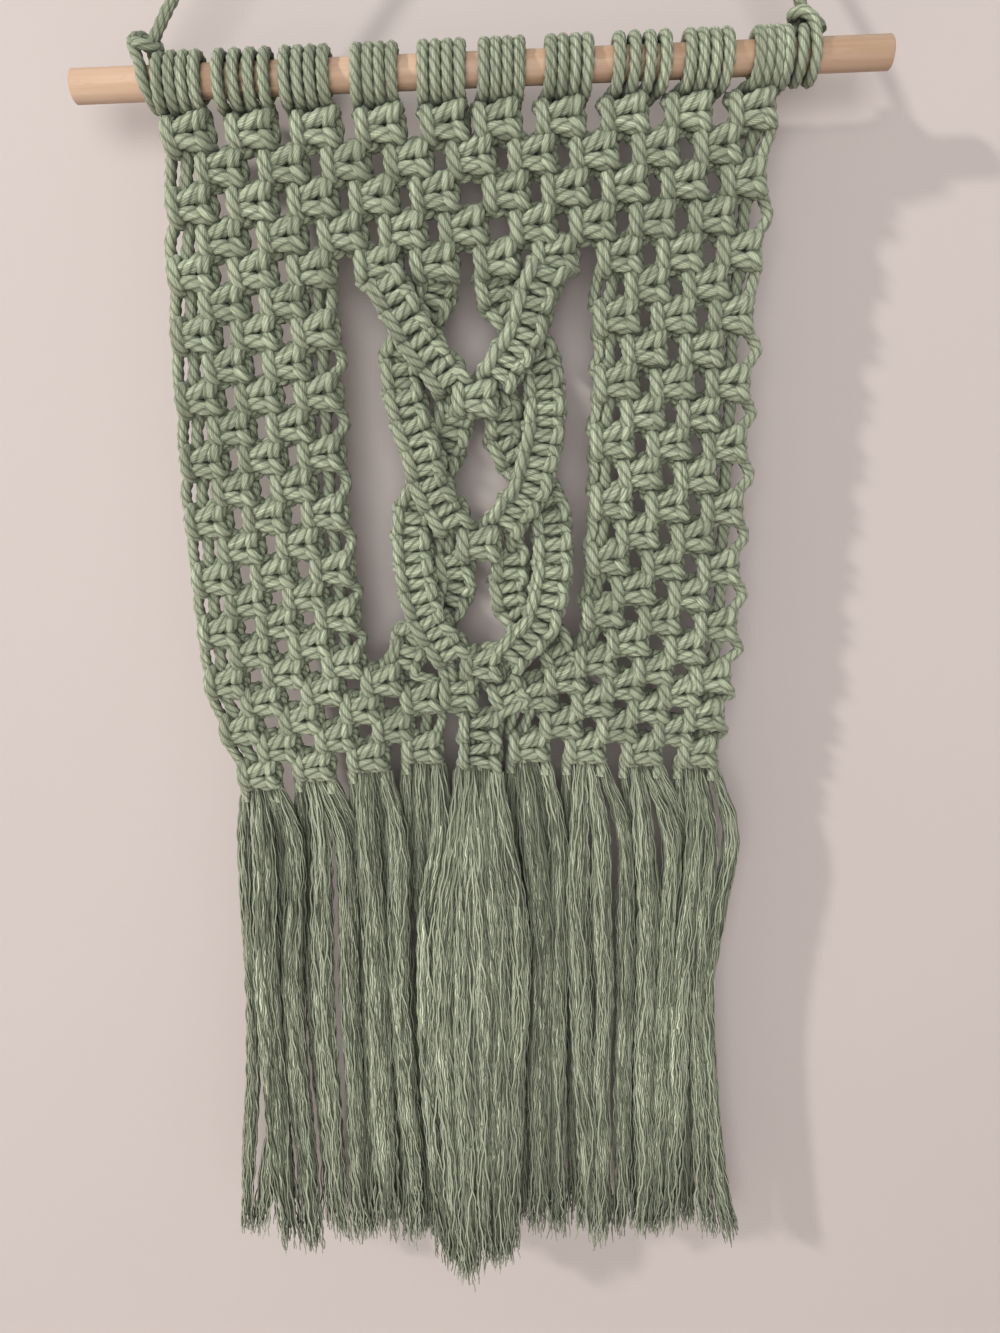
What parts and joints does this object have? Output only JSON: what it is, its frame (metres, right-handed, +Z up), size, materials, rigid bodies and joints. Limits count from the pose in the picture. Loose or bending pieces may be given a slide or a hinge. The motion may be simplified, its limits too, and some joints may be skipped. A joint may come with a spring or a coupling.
{
  "type": "macrame wall hanging on a dowel rod",
  "caption": "Knotted cotton macrame wall hanging with interlaced centre bands and a combed-out fringe, hitched to a plain round dowel rod on a hanging cord.",
  "frame": {"origin": "the point where the hanging cord rests on its hook or nail, at the cord's highest bend", "axes": "+X to the viewer's right along the width, +Z up, +Y into the wall; the front faces -Y"},
  "size_m": [0.3002, 0.0249, 0.7074],
  "materials": {
    "green_cotton": "matt sage-green twisted cotton cord, combed out at the fringe",
    "birch": "bare pale sanded wood"
  },
  "bodies": {
    "root": {"dowel": "birch", "hanging_cord": "green_cotton", "hitch_left": "green_cotton", "hitch_right": "green_cotton", "knotted_net": "green_cotton", "fringe_1": "green_cotton", "fringe_2": "green_cotton", "fringe_3": "green_cotton", "fringe_4": "green_cotton", "fringe_5": "green_cotton", "fringe_6": "green_cotton", "fringe_7": "green_cotton", "fringe_8": "green_cotton", "fringe_9": "green_cotton"}
  },
  "joints": []
}
